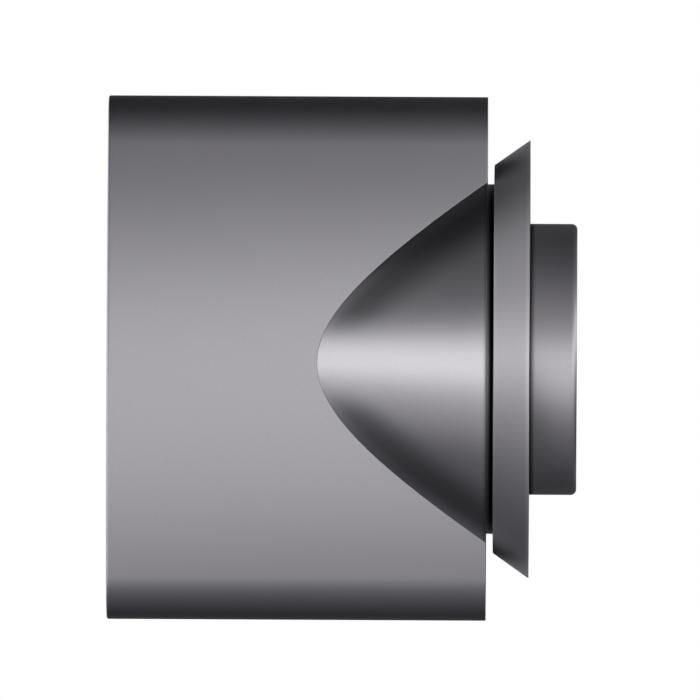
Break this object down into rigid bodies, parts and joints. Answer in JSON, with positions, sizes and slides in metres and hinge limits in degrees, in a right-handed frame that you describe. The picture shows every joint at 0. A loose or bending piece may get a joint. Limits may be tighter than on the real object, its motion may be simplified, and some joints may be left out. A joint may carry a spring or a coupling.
{
  "type": "hair dryer concentrator nozzle",
  "caption": "Push-on concentrator nozzle that turns a hair dryer's round air stream into a thin flat one, with a cone running out of a wide crowned sleeve.",
  "frame": {"origin": "centre of the spigot's end, on the surface that the nozzle stands on", "axes": "+Z along the nozzle's axis from the spigot to the slot, +X along the slot, +Y across the thickness of the flat body"},
  "size_m": [0.0932, 0.0776, 0.0834],
  "materials": {
    "body_grey": "satin metallic grey paint on moulded plastic",
    "spigot_grey": "satin dark grey moulded plastic",
    "neck_black": "matte black moulded plastic",
    "magnet_plating": "plain plated discs"
  },
  "bodies": {
    "root": {"outer_sleeve": "body_grey", "air_duct": "body_grey", "flange_ring": "body_grey", "rear_cover": "spigot_grey", "spigot": "spigot_grey", "neck_ring": "neck_black", "magnets": "magnet_plating"}
  },
  "joints": []
}
